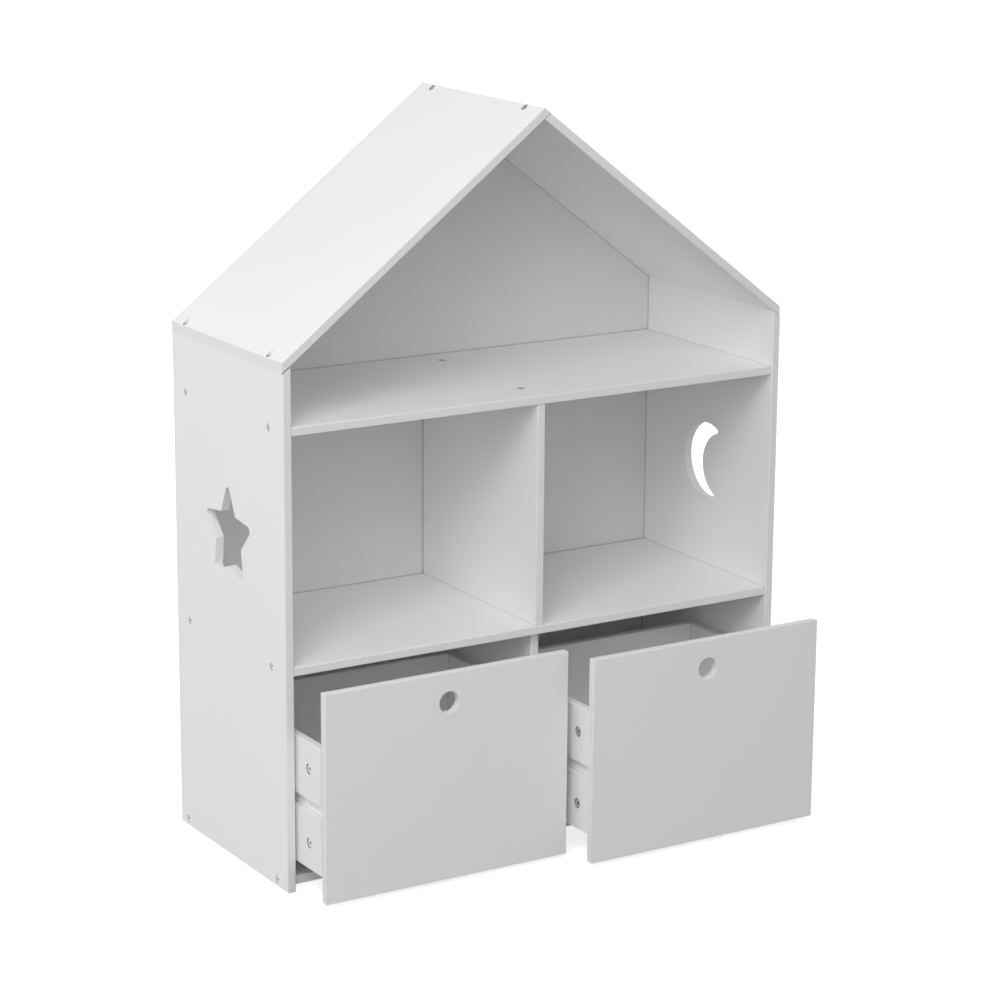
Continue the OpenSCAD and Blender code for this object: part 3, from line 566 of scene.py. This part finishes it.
bend = [math.pi / 2 * step / BEND_STEPS for step in range(BEND_STEPS + 1)]
outline = [(FLOOR_RADIUS_M + BEND_RADIUS_M * math.sin(a), BEND_RADIUS_M * (1 - math.cos(a))) for a in bend]
outline.append((FLOOR_RADIUS_M + BEND_RADIUS_M, WALL_TOP_M))
round_by = [2 * math.pi * step / ROUND_STEPS for step in range(ROUND_STEPS)]
points = [(r * math.cos(t), r * math.sin(t), z) for r, z in outline for t in round_by]
faces = [tuple(range(ROUND_STEPS))]
for ring in range(len(outline) - 1):
    for step in range(ROUND_STEPS):
        here = ring * ROUND_STEPS + step
        after = ring * ROUND_STEPS + (step + 1) % ROUND_STEPS
        faces.append((after, here, here + ROUND_STEPS, after + ROUND_STEPS))
cove_mesh = bpy.data.meshes.new("studio_cove")
cove_mesh.from_pydata(points, [], faces)
cove_mesh.shade_smooth()
studio_cove = bpy.data.objects.new("studio_cove", cove_mesh)
bpy.context.scene.collection.objects.link(studio_cove)
studio_cove.visible_diffuse = False
studio_cove.visible_shadow = False
print("cove:", len(faces), "faces")

# %% [markdown]
# ## Paper and view transform
# The paper is a matt white with a faint cloudiness, and its glow is even all over.
# The plain view transform is chosen, because it keeps white paper white. A gamma a little over one
# lifts the deep shade in the cubbies and the drawers, as the picture has it.

# %% Paper
PAPER_LIGHT = "#F4F4F4"
PAPER_DARK = "#F1F1F1"
PAPER_GRAIN_MM = 40.0
PAPER_LAYERS = 2.0
PAPER_ROUGHNESS = 0.9
PAPER_GLOW = 0.7
WHITE = "#FFFFFF"
SHADE_GAMMA = 1.25

bpy.context.scene.view_settings.view_transform = "Standard"
bpy.context.scene.view_settings.gamma = SHADE_GAMMA

paper = new_finish("studio_paper")
paper_place = add(paper, "ShaderNodeTexCoord").outputs["Object"]
paper_grain = add(paper, "ShaderNodeTexNoise", {"Scale": per_metre(PAPER_GRAIN_MM), "Detail": PAPER_LAYERS},
                  {"Vector": paper_place})
paper_colour = add(paper, "ShaderNodeMix",
                   {"data_type": "RGBA", 6: linear(PAPER_DARK), 7: linear(PAPER_LIGHT)},
                   {0: paper_grain.outputs["Fac"]})
paper_shader = add(paper, "ShaderNodeBsdfPrincipled",
                   {"Roughness": PAPER_ROUGHNESS, "Emission Color": linear(WHITE),
                    "Emission Strength": PAPER_GLOW},
                   {"Base Color": paper_colour.outputs[2]})
add(paper, "ShaderNodeOutputMaterial", {}, {"Surface": paper_shader.outputs[0]})
cove_mesh.materials.append(paper)
print("paper glows with", PAPER_GLOW)

# %% [markdown]
# ## Light from all round
# The picture is lit softly from all round, with more light from the left and the front: the left
# side of the bookcase is lighter than the drawer fronts, and the cubbies are lit far inside. A
# white dome gives the even part. It is strong above and weak below, and the change lies at the
# horizon.

# %% Dome
DOME_ABOVE = 0.43
DOME_BELOW = 0.1
HORIZON_BAND = 0.02    # height over and under the horizon within which the change lies

world = bpy.data.worlds.new("white_dome")
bpy.context.scene.world = world
world.use_nodes = True
world.node_tree.nodes.clear()
direction = add(world, "ShaderNodeTexCoord").outputs["Generated"]
height = add(world, "ShaderNodeSeparateXYZ", {}, {"Vector": direction})
dome_light = add(world, "ShaderNodeMapRange",
                 {"From Min": -HORIZON_BAND, "From Max": HORIZON_BAND,
                  "To Min": DOME_BELOW, "To Max": DOME_ABOVE},
                 {"Value": height.outputs["Z"]})
dome = add(world, "ShaderNodeBackground", {"Color": linear(WHITE)}, {"Strength": dome_light.outputs[0]})
add(world, "ShaderNodeOutputWorld", {}, {"Surface": dome.outputs[0]})
print("dome:", DOME_ABOVE, "above and", DOME_BELOW, "below")

# %% [markdown]
# ## Lamps
# Area lamps as large as a window give the direction. The key lamp stands high in front on the
# left, with a weaker front lamp below it. A side lamp low on the left lifts the side panel, and a
# low back lamp gives the back panel some shape for anyone who walks round. The larger and nearer a
# lamp is, the softer its shadows and the sooner its light falls off along a board.

# %% Lamps
LAMP_SIZE_M = 2.0
LAMP_REACH_M = 3.2
AIM = Vector((0, 0, 0.6))    # a little above the middle of the bookcase
LAMPS = {
    # name: (degrees round from the front, negative to the left, height in metres, watts)
    "key_lamp": (-45, 3.4, 60.0),
    "front_lamp": (-45, 2.0, 21.0),
    "side_lamp": (-100, 0.8, 15.0),
    "back_lamp": (180, 0.5, 45.0),
}
for name, (degrees, height_m, watts) in LAMPS.items():
    lamp_data = bpy.data.lights.new(name, "AREA")
    lamp_data.size = LAMP_SIZE_M
    lamp_data.energy = watts
    lamp = bpy.data.objects.new(name, lamp_data)
    around = math.radians(degrees)
    lamp.location = (LAMP_REACH_M * math.sin(around), -LAMP_REACH_M * math.cos(around), height_m)
    lamp.rotation_mode = "QUATERNION"
    lamp.rotation_quaternion = (AIM - lamp.location).to_track_quat("-Z", "Y")
    bpy.context.scene.collection.objects.link(lamp)
print("lamps:", ", ".join(LAMPS))
